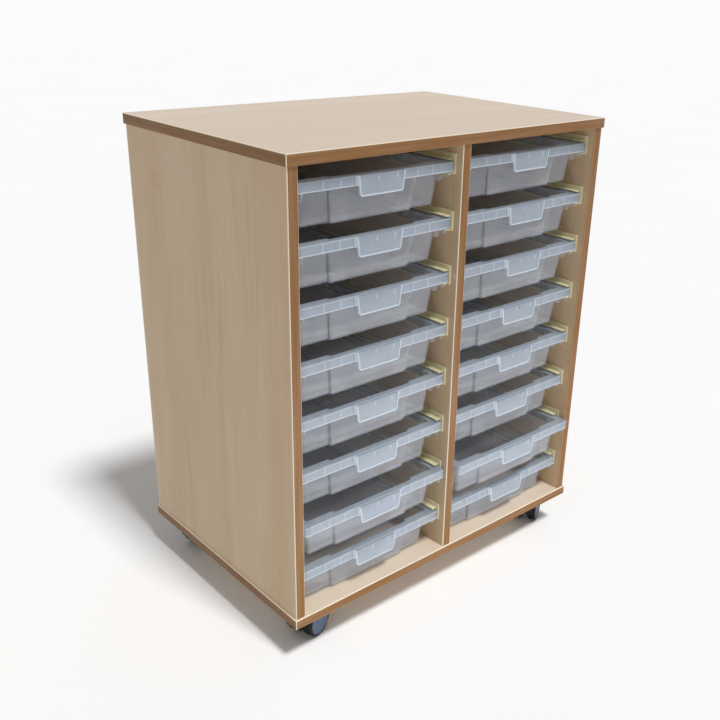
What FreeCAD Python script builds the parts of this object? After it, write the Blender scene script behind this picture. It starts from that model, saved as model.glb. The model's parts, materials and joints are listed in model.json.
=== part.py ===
# Classroom tray storage unit: two bays of shallow trays in a faced-board carcass on castors.
# Units are millimetres. Seen from the front, +X is to the right, +Y to the back and +Z up.
# The origin is on the floor, under the middle of the unit's outer box.
import FreeCAD, Part
import math
import os

# ---- carcass -------------------------------------------------------------------------------
PANEL_THICKNESS = 18.0
OVERHANG = 3.0                # base and top stand out past the uprights, all round
EDGING_THICKNESS = 2.0
EDGING_RADIUS = 1.5           # trimmed outer corners of the edging
BACK_THICKNESS = 8.0
BACK_SETBACK = 6.0            # back panel's rear face, in from the uprights' rear edge
GROOVE_DEPTH = 5.0
GROOVE_CLEARANCE = 0.2        # on each face of the back panel
DOWEL_RADIUS = 4.0
DOWEL_LENGTH = 30.0
DOWEL_IN_BOARD = 12.0         # how far a dowel enters the face of the base or top
DOWEL_END_GAP = 0.5
DOWELS_PER_JOINT = 4
DOWEL_INSET = 60.0            # first and last dowel, in from the uprights' edges
PRESS_CLEARANCE = 0.03        # radial, between a fixed pin and its hole

# ---- trays ---------------------------------------------------------------------------------
TRAY_WIDTH = 312.0            # over the rim; each bay is made to fit it
TRAY_DEPTH = 427.0
TRAY_HEIGHT = 71.0
TRAY_WALL = 2.0
TRAY_FLOOR_GAP = 2.0          # under the lowest trays, above the base
ROW_GAP = 20.75               # under a tray, above the rim of the tray below
RIM_SETBACK = 18.0            # rim of a tray pushed home, behind the uprights' front edge
RIM_CORNER_RADIUS = 6.0
RIM_ROUNDING = 1.0            # top outer edge of the rim and of the handle
SKIRT_HEIGHT = 15.5           # front and rear of the rim
SIDE_SKIRT_HEIGHT = 18.5      # the side skirts ride on the runners
BODY_INSET_SIDE = 15.2        # tray body's wall, in from the rim's side
BODY_INSET_END = 16.5         # tray body's wall, in from the rim's front and rear
BODY_TAPER = 7.8
BODY_CORNER_RADIUS = 6.0
FOOT_RADIUS = 3.0             # rounding between tray walls and floor
BULGE_HALF_WIDTH = 88.0       # the middle of the tray's front wall stands forward
BULGE_PROUD = 5.8
BULGE_DEPTH = 36.0            # how far back the bulge's form reaches into the body's
BULGE_CORNER_RADIUS = 4.5
RIB_THICKNESS = 1.6
RIB_DROP = 14.0
FRONT_RIB_PLACES = (74.5, 106.5)
SIDE_RIB_PITCH = 58.0
GUIDE_THICKNESS = 3.0         # lugs that run along the inner edge of a runner's lower flange
GUIDE_LENGTH = 12.0
GUIDE_DROP = 24.5
GUIDE_CLEARANCE = 1.0
GUSSET_SETBACK = 14.5         # gusset's front face, behind the rim's front
GUSSET_THICKNESS = 7.0
GUSSET_WIDTH = 15.0
GUSSET_DROP = 31.0
GUSSET_FOOT_INSET = 5.0       # foot's outer edge, in from the gusset's
GUSSET_FOOT_WIDTH = 7.0

HANDLE_TOP_WIDTH = 91.0
HANDLE_BOTTOM_WIDTH = 83.0
HANDLE_DROP = 31.5
HANDLE_PROUD = 5.0            # handle's face in front of the rim
HANDLE_BORDER = 2.5
HANDLE_RECESS = 0.8           # handle's face behind its border
HANDLE_LIP = 3.5              # depth of the turned-back border below the skirt
HANDLE_CORNER_RADIUS = 5.0
PIP_RADIUS = 1.8
PIP_HEIGHT = 0.6
PIP_DROP = 7.0

# How far each tray stands out of its home position, top row first.
PULLED_OUT = {
    "left": (4.5, 2.5, 4.0, 5.5, 4.5, 4.5, 16.0, 5.0),
    "right": (3.5, 3.5, 5.5, 4.0, 4.0, 4.0, 29.0, 7.5),
}

# ---- runners -------------------------------------------------------------------------------
RUNNER_SETBACK = 15.2         # runner's front end, behind the uprights' front edge
RUNNER_BACK = 2.5             # thickness of the plate against the panel
RUNNER_SIDE_CLEARANCE = 0.5   # between a runner and the rim of its tray
RUNNER_TOP_GAP = 15.5         # under the top board, above the first runner
RUNNER_RISE = 11.5            # runner's top edge above the rim
RUNNER_BACK_GAP = 2.0         # behind a runner's rear end
FLANGE_SETBACK = 4.8          # flanges' front ends, behind the plate's
FLANGE_COVER = 10.3           # flanges stand out from the plate by this much
UPPER_FLANGE_RISE = 2.2       # upper flange's underside above the rim
UPPER_FLANGE_THICKNESS = 1.8
LOWER_FLANGE_THICKNESS = 2.2
TRAY_LIFT = 0.3               # running gap between a tray's skirt and the lower flange
REAR_STOP_THICKNESS = 2.5
REAR_STOP_GAP = 1.0
RUNNER_TAIL = 1.5             # behind the rear stop
RUNNER_SCREW_RADIUS = 2.0
RUNNER_SCREW_HEAD_RADIUS = 3.8
RUNNER_SCREW_HEAD_HEIGHT = 1.8
RUNNER_SCREW_GRIP = 8.0       # length in the panel
SCREW_SLOT_WIDTH = 0.9        # cross-shaped socket in a screw's head
SCREW_SLOT_REACH = 2.1
SCREW_SLOT_DEPTH = 1.2
RUNNER_SCREW_INSET = 35.0
RUNNER_SCREW_RISE = -6.0      # screw's axis above the rim

# ---- castors -------------------------------------------------------------------------------
CASTOR_INSET = 55.0           # swivel's axis, in from the base board's edges
CASTOR_PLATE = 60.0
CASTOR_PLATE_THICKNESS = 2.5
CASTOR_PLATE_RADIUS = 7.0
CASTOR_SCREW_SPACING = 45.0
CASTOR_SCREW_RADIUS = 2.2
CASTOR_SCREW_HEAD_RADIUS = 4.2
CASTOR_SCREW_HEAD_HEIGHT = 2.2
CASTOR_SCREW_GRIP = 13.0
PLATE_HOLE_RADIUS = 2.7
WHEEL_DIAMETER = 60.0
CASTOR_HEADROOM = 10.0        # above the wheels, up to the base board
WHEEL_WIDTH = 17.0
TYRE_DEPTH = 3.6
TYRE_SHOULDER = 2.2
TYRE_FIT = 0.05
WHEEL_SIDE_GAP = 0.6          # between a wheel and the housing's web
WHEEL_FACE_SKIN = 2.6         # blind face over the axle's end
WHEEL_FACE_RECESS = 1.2
WHEEL_HUB_RADIUS = 9.0
TRAIL = 15.0                  # axle behind the swivel's axis
WEB_WIDTH = 14.0
AXLE_RADIUS = 3.0
RUNNING_CLEARANCE = 0.05
SWIVEL_GAP = 0.4              # between plate and housing
BOSS_RADIUS = 15.0
KINGPIN_RADIUS = 4.0
KINGPIN_LENGTH = 22.0
HOOD_GAP = 1.4                # between tyre and hood
HOOD_THICKNESS = 2.2
HOOD_START_ANGLE = 62.0       # degrees up from the trailing side, about the axle
HOOD_END_ANGLE = 188.0
AXLE_BOSS_RADIUS = 12.0
WEB_TRAILING_ANGLE = 20.0     # where the web's outline meets the axle's boss, degrees
WEB_LOWER_ANGLE = 250.0
WEB_HOOD_ANGLE = 180.0
WEB_HEAD_ANGLE = 128.0        # where the web's outline leaves the hood for the swivel's boss
PEDAL_WIDTH = 16.0
PEDAL_THICKNESS = 3.0
PEDAL_LENGTH = 17.0
PEDAL_DROOP_ANGLE = 38.0      # degrees below level when released
PEDAL_BARREL_RADIUS = 3.2
PEDAL_PIN_RADIUS = 1.6
PEDAL_EAR_THICKNESS = 2.4
PEDAL_SIDE_GAP = 0.3
PEDAL_STANDOFF = 4.4          # pedal's pivot outside the hood's outer face
PEDAL_ANGLE = 148.0           # where the pivot stands round the hood, degrees
# Which way each castor trails, in degrees from +X.
CASTOR_HEADING = {"front_left": 20.0, "front_right": 28.0, "rear_left": 20.0, "rear_right": 31.0}
BRAKED = ("front_left", "front_right")

# ---- derived places ------------------------------------------------------------------------
ROWS = len(PULLED_OUT["left"])
ROW_PITCH = TRAY_HEIGHT + ROW_GAP
BAY_WIDTH = TRAY_WIDTH + 2 * (RUNNER_BACK + RUNNER_SIDE_CLEARANCE)
REAR_STOP_SETBACK = RIM_SETBACK + TRAY_DEPTH + REAR_STOP_GAP
RUNNER_LENGTH = REAR_STOP_SETBACK + REAR_STOP_THICKNESS + RUNNER_TAIL - RUNNER_SETBACK
PANEL_DEPTH = RUNNER_SETBACK + RUNNER_LENGTH + RUNNER_BACK_GAP + BACK_THICKNESS + BACK_SETBACK
SIDE_HEIGHT = RUNNER_TOP_GAP + RUNNER_RISE + (ROWS - 1) * ROW_PITCH + TRAY_HEIGHT + TRAY_FLOOR_GAP
WHEEL_RADIUS = WHEEL_DIAMETER / 2
CASTOR_HEIGHT = WHEEL_DIAMETER + CASTOR_HEADROOM
CARCASS_WIDTH = 2 * BAY_WIDTH + 3 * PANEL_THICKNESS
BOARD_HALF_WIDTH = CARCASS_WIDTH / 2 + OVERHANG
BASE_BOTTOM = CASTOR_HEIGHT
BASE_TOP = BASE_BOTTOM + PANEL_THICKNESS
BOARD_TOP = BASE_TOP + SIDE_HEIGHT
FURTHEST_OUT = max(max(column) for column in PULLED_OUT.values())
FRONT_REACH = max(OVERHANG, FURTHEST_OUT - RIM_SETBACK + HANDLE_PROUD)
FRONT_Y = (FRONT_REACH - PANEL_DEPTH - OVERHANG) / 2      # front plane of the uprights
REAR_Y = FRONT_Y + PANEL_DEPTH
BACK_FRONT_Y = REAR_Y - BACK_SETBACK - BACK_THICKNESS
UPRIGHT_CENTRE = BAY_WIDTH + PANEL_THICKNESS              # side panels' middle, from the divider's
BAY_CENTRE = (BAY_WIDTH + PANEL_THICKNESS) / 2
FIRST_RIM_Z = BASE_TOP + SIDE_HEIGHT - RUNNER_TOP_GAP - RUNNER_RISE
BODY_HALF_WIDTH = TRAY_WIDTH / 2 - BODY_INSET_SIDE
FLANGE_REACH = RUNNER_BACK + FLANGE_COVER                 # from the panel's face
FLANGE_EDGE = BAY_WIDTH / 2 - FLANGE_REACH                # from the tray's middle plane
LOWER_FLANGE_TOP = -SIDE_SKIRT_HEIGHT - TRAY_LIFT         # above the rim
CORE_RADIUS = WHEEL_RADIUS - TYRE_DEPTH
WHEEL_INNER = WEB_WIDTH / 2 + WHEEL_SIDE_GAP
WHEEL_OUTER = WHEEL_INNER + WHEEL_WIDTH
HOUSING_TOP = CASTOR_HEIGHT - CASTOR_PLATE_THICKNESS - SWIVEL_GAP
BOSS_HEIGHT = HOUSING_TOP - WHEEL_DIAMETER - HOOD_GAP
CASTOR_X = BOARD_HALF_WIDTH - CASTOR_INSET
CASTOR_PLACES = {
    "front_left": (-CASTOR_X, FRONT_Y - OVERHANG + CASTOR_INSET),
    "front_right": (CASTOR_X, FRONT_Y - OVERHANG + CASTOR_INSET),
    "rear_left": (-CASTOR_X, REAR_Y + OVERHANG - CASTOR_INSET),
    "rear_right": (CASTOR_X, REAR_Y + OVERHANG - CASTOR_INSET),
}
X_AXIS = FreeCAD.Vector(1, 0, 0)
Y_AXIS = FreeCAD.Vector(0, 1, 0)
Z_AXIS = FreeCAD.Vector(0, 0, 1)
SAME_PLACE = 1e-6             # tolerance for the finding of an edge


# ---- helpers -------------------------------------------------------------------------------
def box(x0, x1, y0, y1, z0, z1):
    return Part.makeBox(x1 - x0, y1 - y0, z1 - z0, FreeCAD.Vector(x0, y0, z0))


def cylinder(radius, start, end):
    """A cylinder between two points."""
    low = FreeCAD.Vector(*start)
    along = FreeCAD.Vector(*end) - low
    return Part.makeCylinder(radius, along.Length, low, along)


def fuse(shapes):
    joined = shapes[0].multiFuse(shapes[1:])
    return joined.removeSplitter()


def moved(shape, x=0.0, y=0.0, z=0.0):
    copy = shape.copy()
    copy.translate(FreeCAD.Vector(x, y, z))
    return copy


def mirrored_x(shape):
    return shape.mirror(FreeCAD.Vector(0, 0, 0), X_AXIS)


def rounded_outline(x0, x1, y0, y1, radius, z):
    """A closed level wire: a rectangle with round corners."""
    turn = radius * (1 - math.sqrt(0.5))
    corners = (
        ((x1, y0 + radius), (x1 - turn, y0 + turn), (x1 - radius, y0)),
        ((x0 + radius, y0), (x0 + turn, y0 + turn), (x0, y0 + radius)),
        ((x0, y1 - radius), (x0 + turn, y1 - turn), (x0 + radius, y1)),
        ((x1 - radius, y1), (x1 - turn, y1 - turn), (x1, y1 - radius)),
    )
    edges = []
    for index, corner in enumerate(corners):
        first, middle, last = (FreeCAD.Vector(x, y, z) for x, y in corner)
        following = FreeCAD.Vector(*corners[(index + 1) % 4][0], z)
        edges.append(Part.Arc(first, middle, last).toShape())
        edges.append(Part.LineSegment(last, following).toShape())
    return Part.Wire(edges)


def slab(outline, height):
    """The solid that a level outline sweeps upwards."""
    return Part.Face(outline).extrude(FreeCAD.Vector(0, 0, height))


def prism(points, direction):
    """The solid that a closed run of points sweeps along a direction."""
    vectors = [FreeCAD.Vector(*point) for point in points]
    return Part.Face(Part.makePolygon(vectors + vectors[:1])).extrude(direction)


def group(solids):
    return Part.makeCompound(solids)


# ---- carcass -------------------------------------------------------------------------------
def upright_places():
    """Middle planes of the left side, the divider and the right side."""
    return (-UPRIGHT_CENTRE, 0.0, UPRIGHT_CENTRE)


def dowel_rows():
    """Depths at which the dowels of one joint stand."""
    first = FRONT_Y + DOWEL_INSET
    step = (PANEL_DEPTH - 2 * DOWEL_INSET) / (DOWELS_PER_JOINT - 1)
    return [first + index * step for index in range(DOWELS_PER_JOINT)]


def dowels():
    """Dowels at the foot and head of every upright."""
    in_upright = DOWEL_LENGTH - DOWEL_IN_BOARD
    spans = (
        (BASE_TOP - DOWEL_IN_BOARD, BASE_TOP + in_upright),
        (BOARD_TOP - in_upright, BOARD_TOP + DOWEL_IN_BOARD),
    )
    return [
        cylinder(DOWEL_RADIUS, (x, y, low), (x, y, high))
        for x in upright_places() for y in dowel_rows() for low, high in spans
    ]


def dowel_holes():
    in_upright = DOWEL_LENGTH - DOWEL_IN_BOARD + DOWEL_END_GAP
    in_board = DOWEL_IN_BOARD + DOWEL_END_GAP
    radius = DOWEL_RADIUS + PRESS_CLEARANCE
    holes = []
    for x in upright_places():
        for y in dowel_rows():
            holes.append(cylinder(radius, (x, y, BASE_TOP - in_board), (x, y, BASE_TOP + in_upright)))
            holes.append(cylinder(radius, (x, y, BOARD_TOP - in_upright), (x, y, BOARD_TOP + in_board)))
    return holes


def back_groove():
    """The space that the back panel's grooves take out of the boards and sides."""
    reach = CARCASS_WIDTH / 2 - PANEL_THICKNESS + GROOVE_DEPTH
    return box(
        -reach, reach,
        BACK_FRONT_Y - GROOVE_CLEARANCE, BACK_FRONT_Y + BACK_THICKNESS + GROOVE_CLEARANCE,
        BASE_TOP - GROOVE_DEPTH, BOARD_TOP + GROOVE_DEPTH,
    )


def back_panel():
    reach = CARCASS_WIDTH / 2 - PANEL_THICKNESS + GROOVE_DEPTH - GROOVE_CLEARANCE
    lip = GROOVE_DEPTH - GROOVE_CLEARANCE
    return box(-reach, reach, BACK_FRONT_Y, BACK_FRONT_Y + BACK_THICKNESS, BASE_TOP - lip, BOARD_TOP + lip)


def level_board(bottom):
    """Core of the base or top board, inside its edging."""
    half = BOARD_HALF_WIDTH - EDGING_THICKNESS
    front = FRONT_Y - OVERHANG + EDGING_THICKNESS
    rear = REAR_Y + OVERHANG - EDGING_THICKNESS
    board = box(-half, half, front, rear, bottom, bottom + PANEL_THICKNESS)
    return board.cut([back_groove()] + dowel_holes())


def base_panel():
    return level_board(BASE_BOTTOM).cut(castor_pilot_holes())


def side_panel(sign):
    """Core of one side panel: sign is -1 on the left and 1 on the right."""
    inner = CARCASS_WIDTH / 2 - PANEL_THICKNESS
    x0, x1 = sorted((sign * inner, sign * (inner + PANEL_THICKNESS)))
    board = box(x0, x1, FRONT_Y + EDGING_THICKNESS, REAR_Y - EDGING_THICKNESS, BASE_TOP, BOARD_TOP)
    return board.cut([back_groove()] + dowel_holes() + runner_pilot_holes())


def centre_divider():
    half = PANEL_THICKNESS / 2
    board = box(-half, half, FRONT_Y + EDGING_THICKNESS, BACK_FRONT_Y, BASE_TOP, BOARD_TOP)
    return board.cut(dowel_holes() + runner_pilot_holes())


def lies_on(edge, axis, value):
    """Whether a straight edge lies in the plane where one coordinate has a value."""
    return all(abs(getattr(vertex.Point, axis) - value) < SAME_PLACE for vertex in edge.Vertexes)


def trimmed(strip, axis, outer):
    """An edging strip with its long edges rounded on its outer face."""
    edges = [edge for edge in strip.Edges if lies_on(edge, axis, outer) and edge.Length > PANEL_THICKNESS]
    return strip.makeFillet(EDGING_RADIUS, edges)


def level_strip(outer, inner, bottom):
    """The strip on the front or rear of a level board, over the ends of the side strips."""
    half = BOARD_HALF_WIDTH
    strip = box(-half, half, min(outer, inner), max(outer, inner), bottom, bottom + PANEL_THICKNESS)
    ends = [
        edge for edge in strip.Edges
        if lies_on(edge, "y", outer) and not lies_on(edge, "z", bottom)
        and not lies_on(edge, "z", bottom + PANEL_THICKNESS)
    ]
    long = [edge for edge in strip.Edges if lies_on(edge, "y", outer) and edge.Length > PANEL_THICKNESS]
    return strip.makeFillet(EDGING_RADIUS, long + ends)


def board_edging(bottom):
    """Four strips round a level board."""
    front = FRONT_Y - OVERHANG
    rear = REAR_Y + OVERHANG
    strips = [
        level_strip(front, front + EDGING_THICKNESS, bottom),
        level_strip(rear, rear - EDGING_THICKNESS, bottom),
    ]
    for sign in (-1, 1):
        outer = sign * BOARD_HALF_WIDTH
        x0, x1 = sorted((outer, outer - sign * EDGING_THICKNESS))
        strip = box(
            x0, x1, front + EDGING_THICKNESS, rear - EDGING_THICKNESS, bottom, bottom + PANEL_THICKNESS)
        strips.append(trimmed(strip, "x", outer))
    return group(strips)


def upright_edging(centre, outer, inner):
    """One vertical strip on the front or rear edge of an upright panel."""
    half = PANEL_THICKNESS / 2
    strip = box(
        centre - half, centre + half, min(outer, inner), max(outer, inner), BASE_TOP, BOARD_TOP)
    return trimmed(strip, "y", outer)


def side_edging(sign):
    centre = sign * UPRIGHT_CENTRE
    return group([
        upright_edging(centre, FRONT_Y, FRONT_Y + EDGING_THICKNESS),
        upright_edging(centre, REAR_Y, REAR_Y - EDGING_THICKNESS),
    ])


def divider_edging():
    return upright_edging(0.0, FRONT_Y, FRONT_Y + EDGING_THICKNESS)


# ---- runners -------------------------------------------------------------------------------
def rim_height(row):
    """Height of the rim's top face of the trays in one row, counted from the top."""
    return FIRST_RIM_Z - row * ROW_PITCH


def runner_screw_depths():
    """Places of a runner's screws along it. The two sides of a panel share them."""
    first = FRONT_Y + RUNNER_SETBACK + RUNNER_SCREW_INSET
    last = FRONT_Y + RUNNER_SETBACK + RUNNER_LENGTH - RUNNER_SCREW_INSET
    return (first, last)


def runner_screw():
    """A countersunk screw that points along -X, with its head's face at x = 0."""
    head = Part.makeCone(
        RUNNER_SCREW_HEAD_RADIUS, RUNNER_SCREW_RADIUS, RUNNER_SCREW_HEAD_HEIGHT,
        FreeCAD.Vector(0, 0, 0), -X_AXIS,
    )
    reach = RUNNER_BACK + RUNNER_SCREW_GRIP
    shank = cylinder(RUNNER_SCREW_RADIUS, (0, 0, 0), (-reach, 0, 0))
    return head.fuse(shank).removeSplitter().cut(screw_recess())


def screw_recess():
    """The cross-shaped socket in a screw's head."""
    half = SCREW_SLOT_WIDTH / 2
    reach = SCREW_SLOT_REACH
    upright = box(-SCREW_SLOT_DEPTH, SCREW_SLOT_DEPTH, -half, half, -reach, reach)
    level = box(-SCREW_SLOT_DEPTH, SCREW_SLOT_DEPTH, -reach, reach, -half, half)
    return upright.fuse(level)


def screw_socket():
    """The countersunk hole that a runner screw fills."""
    radius = RUNNER_SCREW_RADIUS + PRESS_CLEARANCE
    head_radius = RUNNER_SCREW_HEAD_RADIUS + PRESS_CLEARANCE
    head = Part.makeCone(
        head_radius, radius, RUNNER_SCREW_HEAD_HEIGHT + PRESS_CLEARANCE, FreeCAD.Vector(0, 0, 0), -X_AXIS,
    )
    return head.fuse(cylinder(radius, (0, 0, 0), (-RUNNER_BACK, 0, 0)))


def runner():
    """One runner for the left side of a bay: panel's face at x = 0, rim's top face at z = 0."""
    start = FRONT_Y + RUNNER_SETBACK
    end = start + RUNNER_LENGTH
    flange_start = start + FLANGE_SETBACK
    foot = LOWER_FLANGE_TOP - LOWER_FLANGE_THICKNESS
    upper_top = UPPER_FLANGE_RISE + UPPER_FLANGE_THICKNESS
    stop_front = FRONT_Y + REAR_STOP_SETBACK
    stop_rear = stop_front + REAR_STOP_THICKNESS
    pieces = [
        box(0, RUNNER_BACK, start, end, foot, RUNNER_RISE),
        box(0, FLANGE_REACH, flange_start, end, UPPER_FLANGE_RISE, upper_top),
        box(0, FLANGE_REACH, flange_start, end, foot, LOWER_FLANGE_TOP),
        box(0, FLANGE_REACH, stop_front, stop_rear, LOWER_FLANGE_TOP, UPPER_FLANGE_RISE),
    ]
    sockets = [moved(screw_socket(), RUNNER_BACK, y, RUNNER_SCREW_RISE) for y in runner_screw_depths()]
    return fuse(pieces).cut(sockets)


def bay_walls():
    """Runner sets by name: the wall's plane, the side on which it stands and the bay's side."""
    inner = PANEL_THICKNESS / 2
    outer = inner + BAY_WIDTH
    return {
        "left_bay_left_runners": (-outer, 1),
        "left_bay_right_runners": (-inner, -1),
        "right_bay_left_runners": (inner, 1),
        "right_bay_right_runners": (outer, -1),
    }


def on_wall(shape, plane, sign, row):
    """A runner or its fitting, set on one wall of a bay at one row's height."""
    facing = shape if sign > 0 else mirrored_x(shape)
    return moved(facing, plane, 0, rim_height(row))


def runner_set(plane, sign):
    one = runner()
    return group([on_wall(one, plane, sign, row) for row in range(ROWS)])


def each_runner_fitting(shape):
    """Copies of a fitting at both screw places of every runner."""
    copies = []
    for plane, sign in bay_walls().values():
        for row in range(ROWS):
            for y in runner_screw_depths():
                placed = moved(shape, RUNNER_BACK, y, RUNNER_SCREW_RISE)
                copies.append(on_wall(placed, plane, sign, row))
    return copies


def runner_screws():
    return group(each_runner_fitting(runner_screw()))


def runner_pilot_holes():
    """Holes in the panels' faces. Each reaches from the panel's face to the screw's tip."""
    reach = RUNNER_BACK + RUNNER_SCREW_GRIP + PRESS_CLEARANCE
    radius = RUNNER_SCREW_RADIUS + PRESS_CLEARANCE
    return each_runner_fitting(cylinder(radius, (0, 0, 0), (-reach, 0, 0)))


# ---- trays ---------------------------------------------------------------------------------
# A tray is drawn with its middle plane at x = 0, the front of its rim at y = 0 and the rim's top
# face at z = 0.
def tapered_form(half_width, front, rear, bottom, foot, corner):
    """A closed form that narrows downwards and has a rounded foot."""
    steps = [(0.0, 0.0)] + [
        (BODY_TAPER + foot * (1 - math.cos(angle)), foot * (1 - math.sin(angle)))
        for angle in (0.0, math.pi / 4, math.pi / 2)
    ]
    outlines = []
    for index, (inset, rise) in enumerate(steps):
        z = 0.0 if index == 0 else bottom + rise
        radius = corner if index < 2 else corner - (inset - BODY_TAPER)
        outlines.append(rounded_outline(
            -half_width + inset, half_width - inset, front + inset, rear - inset, radius, z))
    return Part.makeLoft(outlines[::-1], True, True)


def body_forms(wall):
    """Main body and front bulge, drawn in from the outer faces by a wall's thickness."""
    bottom = -TRAY_HEIGHT + wall
    front = BODY_INSET_END + wall
    rear = TRAY_DEPTH - BODY_INSET_END - wall
    main = tapered_form(
        BODY_HALF_WIDTH - wall, front, rear, bottom, FOOT_RADIUS - wall / 2, BODY_CORNER_RADIUS - wall)
    bulge = tapered_form(
        BULGE_HALF_WIDTH - wall, front - BULGE_PROUD, front + BULGE_DEPTH, bottom, FOOT_RADIUS - wall / 2,
        BULGE_CORNER_RADIUS - wall / 2)
    return [main, bulge]


def rim():
    """The flange round the tray's mouth and the skirt under its outer edge."""
    half = TRAY_WIDTH / 2
    outer = rounded_outline(-half, half, 0, TRAY_DEPTH, RIM_CORNER_RADIUS, -SKIRT_HEIGHT)
    inner = rounded_outline(
        -half + TRAY_WALL, half - TRAY_WALL, TRAY_WALL, TRAY_DEPTH - TRAY_WALL,
        RIM_CORNER_RADIUS - TRAY_WALL, -SKIRT_HEIGHT)
    block = slab(outer, SKIRT_HEIGHT)
    rounded = block.makeFillet(RIM_ROUNDING, [edge for edge in block.Edges if lies_on(edge, "z", 0.0)])
    return rounded.cut(slab(inner, SKIRT_HEIGHT - TRAY_WALL))


def side_skirts():
    """The deeper stretches of skirt that ride on the runners."""
    outer = TRAY_WIDTH / 2
    front = RIM_CORNER_RADIUS
    right = box(outer - TRAY_WALL, outer, front, TRAY_DEPTH - front, -SIDE_SKIRT_HEIGHT, -TRAY_WALL)
    return [right, mirrored_x(right)]


def flange_ribs():
    """Upright ribs under the flange, between the skirt and the body's wall."""
    half = RIB_THICKNESS / 2
    low = -RIB_DROP
    ribs = []
    for place in FRONT_RIB_PLACES:
        for x in (-place, place):
            ribs.append(box(x - half, x + half, 0, BODY_INSET_END + TRAY_WALL, low, 0))
            ribs.append(box(x - half, x + half, TRAY_DEPTH - BODY_INSET_END - TRAY_WALL, TRAY_DEPTH, low, 0))
    count = int((TRAY_DEPTH / 2 - BODY_INSET_END - BODY_CORNER_RADIUS) / SIDE_RIB_PITCH)
    for index in range(-count, count + 1):
        y = TRAY_DEPTH / 2 + index * SIDE_RIB_PITCH
        reach = TRAY_WIDTH / 2 - TRAY_WALL / 2
        ribs.append(box(BODY_HALF_WIDTH - TRAY_WALL, reach, y - half, y + half, low, 0))
        ribs.append(box(-reach, -BODY_HALF_WIDTH + TRAY_WALL, y - half, y + half, low, 0))
    return ribs


def corner_gusset():
    """Tongue-shaped plate under the rim's front right corner, joined to the body's corner."""
    outer = FLANGE_EDGE - GUIDE_CLEARANCE
    inner = outer - GUSSET_WIDTH
    foot = outer - GUSSET_FOOT_INSET
    outline = [
        (x, GUSSET_SETBACK, z) for x, z in (
            (outer, -TRAY_WALL / 2),
            (outer, -SIDE_SKIRT_HEIGHT),
            (foot, -GUSSET_DROP),
            (foot - GUSSET_FOOT_WIDTH, -GUSSET_DROP),
            (inner, -SIDE_SKIRT_HEIGHT),
            (inner, -TRAY_WALL / 2),
        )
    ]
    return prism(outline, FreeCAD.Vector(0, GUSSET_THICKNESS, 0))


def guide_lug():
    """Pointed lug behind the skirt's front right corner."""
    outer = FLANGE_EDGE - GUIDE_CLEARANCE
    inner = outer - GUIDE_THICKNESS
    outline = [
        (x, TRAY_WALL / 2, z) for x, z in (
            (outer, -TRAY_WALL / 2),
            (outer, -SIDE_SKIRT_HEIGHT),
            ((outer + inner) / 2, -GUIDE_DROP),
            (inner, -SIDE_SKIRT_HEIGHT),
            (inner, -TRAY_WALL / 2),
        )
    ]
    return prism(outline, FreeCAD.Vector(0, GUIDE_LENGTH, 0))


def corner_fittings():
    """Gussets and guide lugs at the four corners."""
    fittings = []
    for piece in (corner_gusset(), guide_lug()):
        pair = [piece, mirrored_x(piece)]
        rear = [one.mirror(FreeCAD.Vector(0, TRAY_DEPTH / 2, 0), Y_AXIS) for one in pair]
        fittings += pair + rear
    return fittings


def handle_half_width(z):
    """Half of the handle's width at a height."""
    top = HANDLE_TOP_WIDTH / 2
    return top + (HANDLE_BOTTOM_WIDTH / 2 - top) * -z / HANDLE_DROP


def handle_block(shrink, front, rear, top):
    """A tapered block with round lower corners, as wide as the handle less a border."""
    bottom = -HANDLE_DROP + shrink
    upper = handle_half_width(top) - shrink
    lower = handle_half_width(bottom) - shrink
    block = prism(
        [(-upper, front, top), (upper, front, top), (lower, front, bottom), (-lower, front, bottom)],
        FreeCAD.Vector(0, rear - front, 0))
    low_edges = [
        edge for edge in block.Edges
        if lies_on(edge, "z", bottom) and abs(edge.Length - (rear - front)) < SAME_PLACE
    ]
    return block.makeFillet(HANDLE_CORNER_RADIUS - shrink, low_edges)


def collar_outline(z):
    """Level outline of the handle's collar: its ends slope back to the skirt at 45 degrees."""
    half = handle_half_width(z)
    wide = half + HANDLE_PROUD
    points = [
        FreeCAD.Vector(x, y, z) for x, y in (
            (-half, -HANDLE_PROUD), (half, -HANDLE_PROUD), (wide, 0), (wide, TRAY_WALL),
            (-wide, TRAY_WALL), (-wide, 0),
        )
    ]
    return Part.makePolygon(points + points[:1])


def handle_collar():
    """The handle's upper part, from its face back to the skirt."""
    collar = Part.makeLoft([collar_outline(-SKIRT_HEIGHT), collar_outline(0.0)], True, True)
    front_edges = [
        edge for edge in collar.Edges
        if lies_on(edge, "z", 0.0) and min(vertex.Y for vertex in edge.Vertexes) < -SAME_PLACE
    ]
    return collar.makeFillet(RIM_ROUNDING, front_edges)


def handle():
    """The pull: a plate with a proud border that turns back, under a deeper collar."""
    face = -HANDLE_PROUD + HANDLE_RECESS
    plate = handle_block(0.0, -HANDLE_PROUD, -HANDLE_PROUD + HANDLE_LIP, -SKIRT_HEIGHT / 2)
    recess = handle_block(HANDLE_BORDER, -HANDLE_PROUD - HANDLE_RECESS, face, -HANDLE_BORDER)
    pip = cylinder(PIP_RADIUS, (0, face - PIP_HEIGHT, -PIP_DROP), (0, face + PIP_HEIGHT, -PIP_DROP))
    return plate.fuse(handle_collar()).cut(recess).fuse(pip)


def finger_pocket():
    """The hollow behind the handle's face, through the skirt."""
    front = -HANDLE_PROUD + HANDLE_RECESS + TRAY_WALL
    return handle_block(HANDLE_BORDER, front, TRAY_WALL + GUIDE_CLEARANCE, -TRAY_WALL)


def tray():
    solid = fuse(body_forms(0.0) + [rim()] + side_skirts() + flange_ribs() + corner_fittings() + [handle()])
    hollows = body_forms(TRAY_WALL) + [finger_pocket()]
    return solid.cut(hollows).removeSplitter()


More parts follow.
